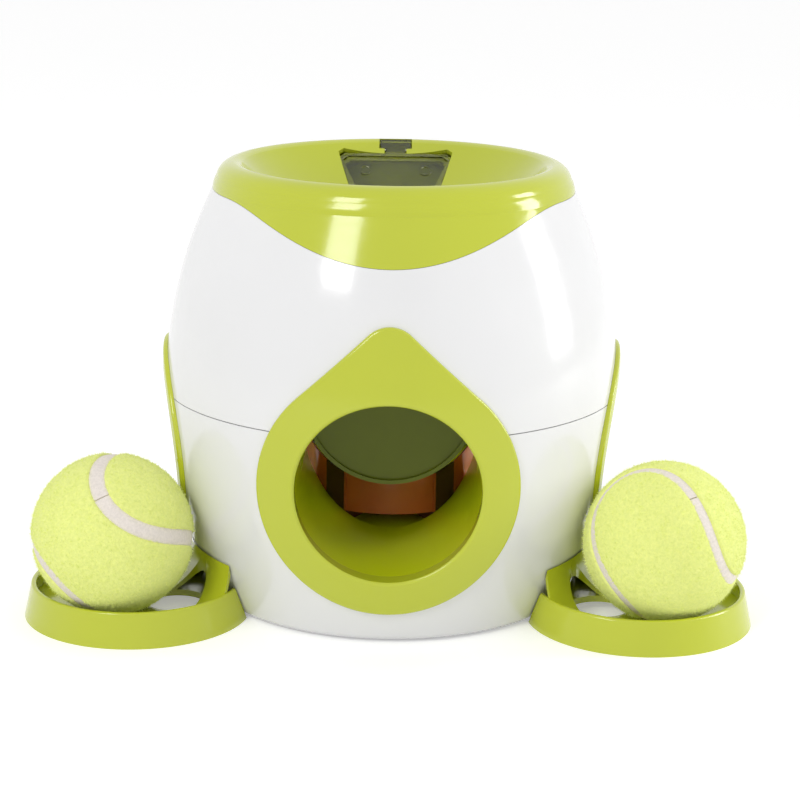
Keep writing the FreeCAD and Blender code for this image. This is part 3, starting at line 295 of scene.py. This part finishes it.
def rubber(name, colour):
    """Dull rubber with a dusting of paler specks."""
    material, shader, coords = new_material(name)
    dust = noise(material, coords, scale=160.0, detail=6.0, rough=0.65)
    tint(material, shader, dust, colour, shade(colour, 1.8))
    roughen(material, shader, dust, (0.62, 0.85))
    grain = noise(material, coords, scale=2200.0, detail=4.0)
    bump(material, shader, grain, strength=0.2, distance=0.0002)
    return material


def felt(name, colour):
    """Brushed felt: tufty light and dark patches, sheen and a matted nap."""
    material, shader, coords = new_material(name)
    tufts = noise(material, coords, scale=850.0, detail=8.0, rough=0.7)
    tint(material, shader, tufts, shade(colour, 0.87), shade(colour, 1.06), 0.3, 0.7)
    roughen(material, shader, tufts, (0.85, 1.0))
    socket(shader, "Sheen Weight", 0.35)
    socket(shader, "Sheen Roughness", 0.45)
    socket(shader, "Sheen Tint", (*FELT_SHEEN, 1.0))
    matting = noise(material, coords, scale=1300.0, detail=6.0, rough=0.7)
    bump(material, shader, matting, strength=0.55, distance=0.0006)
    return material


def seam_rubber(name, colour):
    """The pale, slightly woven band in a ball's seam."""
    material, shader, coords = new_material(name)
    weave = noise(material, coords, scale=900.0, detail=6.0, rough=0.7)
    tint(material, shader, weave, shade(colour, 0.9), shade(colour, 1.06))
    roughen(material, shader, weave, (0.7, 0.92))
    bump(material, shader, weave, strength=0.35, distance=0.0004)
    return material


def slot_materials():
    """The material of each slot that the record names."""
    return {
        "white_shell": gloss_plastic("white_shell_look", WHITE),
        "green_plastic": gloss_plastic("green_plastic_look", LIME),
        "green_inner": gloss_plastic("green_inner_look", INNER_LIME, (0.16, 0.24), 0.02, 0.0, 0.3),
        "smoked_clear": clear_plastic("smoked_clear_look", SMOKED),
        "red_clear": bar_shaded_plastic("red_clear_look", RED_CLEAR, BAR_PAINTED_SHADE),
        "gear_plastic": matte_plastic("gear_plastic_look", GEAR_WHITE),
        "dark_wheel": matte_plastic("dark_wheel_look", WHEEL_BROWN),
        "steel": metal("steel_look", STEEL),
        "brass": metal("brass_look", BRASS, (0.3, 0.5)),
        "rubber": rubber("rubber_look", FOOT_BLACK),
        "ball_rubber": rubber("ball_rubber_look", CORE_BLACK),
        "felt": felt("felt_look", FELT),
    }


def dress_frame(nodes, looks):
    """Gives every CAD node the finished material of its slot."""
    for node in nodes.values():
        for place in node.material_slots:
            name = place.material.name.split(".")[0]
            place.material = looks[name]


def dress_cradle_shade(nodes):
    """The cradle's inner green, darkened and dulled: painted shade for its place inside the body."""
    look = gloss_plastic("cradle_shaded_look", CRADLE_SHADED_LIME, (0.16, 0.26), 0.02, 0.0, 0.22)
    nodes["ball_cradle"].material_slots[0].material = look


def link(name, data):
    made = bpy.data.objects.new(name, data)
    bpy.context.scene.collection.objects.link(made)
    return made


def piece_from(build, name, look, smooth):
    """The scene object that a finished bmesh makes."""
    mesh = bpy.data.meshes.new(name)
    build.to_mesh(mesh)
    build.free()
    mesh.materials.append(look)
    for face in mesh.polygons:
        face.use_smooth = smooth
    return link(name, mesh)


def seam_curve(side):
    """The closed wavy seam of a felt ball, as unit vectors from its centre."""
    turn = Matrix.Identity(3)
    for angle, axis in zip(SEAM_TURN[side], "XYZ"):
        turn = Matrix.Rotation(math.radians(angle), 3, axis) @ turn
    points = []
    for k in range(SEAM_STEPS):
        t = 2 * math.pi * k / SEAM_STEPS
        x = SEAM_A * math.cos(t) + SEAM_B * math.cos(3 * t)
        y = SEAM_A * math.sin(t) - SEAM_B * math.sin(3 * t)
        z = 2 * math.sqrt(SEAM_A * SEAM_B) * math.sin(2 * t)
        points.append((turn @ Vector((x, y, z))).normalized())
    return points


def near_seam(seam):
    """A search tree that finds the nearest point of the seam on the ball's surface."""
    tree = KDTree(len(seam))
    for k, point in enumerate(seam):
        tree.insert(point * BALL_R, k)
    tree.balance()
    return tree


def smooth_step(value):
    value = max(0.0, min(1.0, value))
    return value * value * (3 - 2 * value)


def felt_cover(side, tree, look):
    """The felt skin: a fine sphere, tufted all over, that dips under the seam band."""
    build = bmesh.new()
    bmesh.ops.create_icosphere(build, subdivisions=FELT_FINENESS, radius=BALL_R)
    rng = random.Random(side)
    for vertex in build.verts:
        distance = tree.find(vertex.co)[2]
        rise = smooth_step((distance - BAND_HALF_W[side] + DIP_START) / DIP_RUN)
        tuft = rng.uniform(-FELT_TUFT, FELT_TUFT)
        radius = BALL_R - FELT_DIP * (1 - rise) + tuft
        vertex.co = vertex.co.normalized() * radius + BALL_AT[side]
    cover = piece_from(build, side + "_ball_felt_cover", look, True)
    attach(cover, side + "_ball")
    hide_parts(side + "_ball_felt")


def band_row(build, side, point, ahead):
    """The vertices across the band at one point of the seam."""
    sideways = point.cross(ahead).normalized()
    row = []
    for j in range(BAND_STRIPS + 1):
        share = 2 * j / BAND_STRIPS - 1
        reach = share * (BAND_HALF_W[side] + BAND_TUCK)
        height = BALL_R - BAND_DEPTH - BAND_CROWN * share * share
        place = (point * BALL_R + sideways * reach).normalized() * height
        row.append(build.verts.new(place + BALL_AT[side]))
    return row


def seam_band(side, seam, look):
    """The band in the seam, slightly crowned across its width, with a fine slit where its two ends meet."""
    build = bmesh.new()
    count = len(seam)
    rows = []
    for k, point in enumerate(seam):
        ahead = (seam[(k + 1) % count] - seam[k - 1]).normalized()
        rows.append(band_row(build, side, point, ahead))
    join = max(range(count), key=lambda k: seam[k].dot(SEAM_JOIN))
    for k in range(count):
        if k == join:
            continue
        a, b = rows[k], rows[(k + 1) % count]
        for j in range(BAND_STRIPS):
            build.faces.new((a[j], b[j], b[j + 1], a[j + 1]))
    build.normal_update()
    band = piece_from(build, side + "_ball_seam", look, True)
    solid = band.modifiers.new("thickness", "SOLIDIFY")
    solid.thickness = BAND_THICKNESS
    solid.offset = -1
    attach(band, side + "_ball")


def random_direction(rng):
    return Vector((rng.gauss(0, 1), rng.gauss(0, 1), rng.gauss(0, 1))).normalized()


def needle(build, root, tip, direction):
    """One fibre, a thin spike on a triangle."""
    first = direction.orthogonal().normalized()
    second = direction.cross(first)
    corners = []
    for k in range(NAP_SIDES):
        angle = 2 * math.pi * k / NAP_SIDES
        away = first * math.cos(angle) + second * math.sin(angle)
        corners.append(build.verts.new(root + away * NAP_WIDTH / 2))
    point = build.verts.new(tip)
    build.faces.new(corners[::-1])
    for k in range(NAP_SIDES):
        build.faces.new((corners[k], corners[(k + 1) % NAP_SIDES], point))


def nap(side, tree, look):
    """The felt's raised fibres, which lean at random and reach over the band's edges."""
    build = bmesh.new()
    rng = random.Random(side + "nap")
    for _ in range(NAP_COUNT):
        out = random_direction(rng)
        if tree.find(out * BALL_R)[2] < BAND_HALF_W[side]:
            continue
        direction = (out + random_direction(rng) * NAP_LEAN).normalized()
        root = BALL_AT[side] + out * (BALL_R - NAP_ROOT_DEPTH)
        tip = root + direction * NAP_LENGTH * rng.uniform(NAP_SHORTEST, 1.0)
        needle(build, root, tip, direction)
    fibres = piece_from(build, side + "_ball_nap", look, False)
    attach(fibres, side + "_ball")


def felt_balls(looks, band_look):
    for side in ("left", "right"):
        seam = seam_curve(side)
        tree = near_seam(seam)
        felt_cover(side, tree, looks["felt"])
        seam_band(side, seam, band_look)
        nap(side, tree, looks["felt"])


def camera():
    """The photograph's camera, turned about the vertical axis to see the object as it stood."""
    yaw, pitch, roll = (math.radians(a) for a in (CAMERA_YAW, CAMERA_PITCH, CAMERA_ROLL))
    ahead = Vector((math.sin(yaw) * math.cos(pitch), math.cos(yaw) * math.cos(pitch), -math.sin(pitch)))
    right = Vector((math.cos(yaw), -math.sin(yaw), 0.0))
    up = right.cross(ahead)
    right_rolled = right * math.cos(roll) + up * math.sin(roll)
    up_rolled = up * math.cos(roll) - right * math.sin(roll)
    turn = Matrix.Rotation(math.radians(OBJECT_TURN), 3, "Z")
    axes = turn @ Matrix((right_rolled, up_rolled, -ahead)).transposed()
    data = bpy.data.cameras.new("camera")
    data.lens = LENS_MM
    data.sensor_width = SENSOR_MM
    made = link("camera", data)
    made.matrix_world = Matrix.Translation(turn @ CAMERA_AT) @ axes.to_4x4()
    bpy.context.scene.camera = made


def softbox(name, at, toward, width, height, watts):
    data = bpy.data.lights.new(name, "AREA")
    data.shape = "RECTANGLE"
    data.size = width
    data.size_y = height
    data.energy = watts
    lamp = link(name, data)
    lamp.location = at
    lamp.rotation_euler = (Vector(toward) - Vector(at)).to_track_quat("-Z", "Y").to_euler()


def seen_ray(owner):
    """1 for camera, glossy and transmission rays, and 0 for the rays that light the object."""
    path = owner.node_tree.nodes.new("ShaderNodeLightPath")
    total = path.outputs["Is Camera Ray"]
    for name in ("Is Glossy Ray", "Is Transmission Ray"):
        total = calculate(owner, "MAXIMUM", total, path.outputs[name])
    return total


def floor_look():
    """A pale matt floor that glows just enough to be seen as white."""
    material = bpy.data.materials.new("floor_look")
    material.use_nodes = True
    shader = material.node_tree.nodes["Principled BSDF"]
    socket(shader, "Base Color", (*FLOOR_COLOUR, 1))
    socket(shader, "Roughness", 0.7)
    socket(shader, "Specular IOR Level", 0.1)
    socket(shader, "Emission Color", (1, 1, 1, 1))
    glow = calculate(material, "MULTIPLY", seen_ray(material), FLOOR_GLOW)
    material.node_tree.links.new(glow, shader.inputs["Emission Strength"])
    return material


def floor():
    """A wide floor that keeps the object's shadow."""
    mesh = bpy.data.meshes.new("floor")
    corners = [(x * FLOOR_HALF, y * FLOOR_HALF, 0) for x, y in ((-1, -1), (1, -1), (1, 1), (-1, 1))]
    mesh.from_pydata(corners, [], [(0, 1, 2, 3)])
    mesh.materials.append(floor_look())
    link("floor", mesh)


def world():
    """An even studio world, white where it is seen and softer where it lights the object."""
    made = bpy.data.worlds.new("studio")
    made.use_nodes = True
    bpy.context.scene.world = made
    background = made.node_tree.nodes["Background"]
    socket(background, "Color", (1.0, 1.0, 1.0, 1))
    level = remap(made, seen_ray(made), WORLD_LIGHT, WORLD_SEEN, 0.0, 1.0)
    made.node_tree.links.new(level, background.inputs["Strength"])


def main():
    bpy.context.scene.view_settings.view_transform = "Standard"
    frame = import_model()
    looks = slot_materials()
    dress_frame(frame["nodes"], looks)
    dress_cradle_shade(frame["nodes"])
    felt_balls(looks, seam_rubber("seam_band_look", BAND))
    floor()
    world()
    for lamp in LAMPS:
        softbox(*lamp)
    camera()


main()
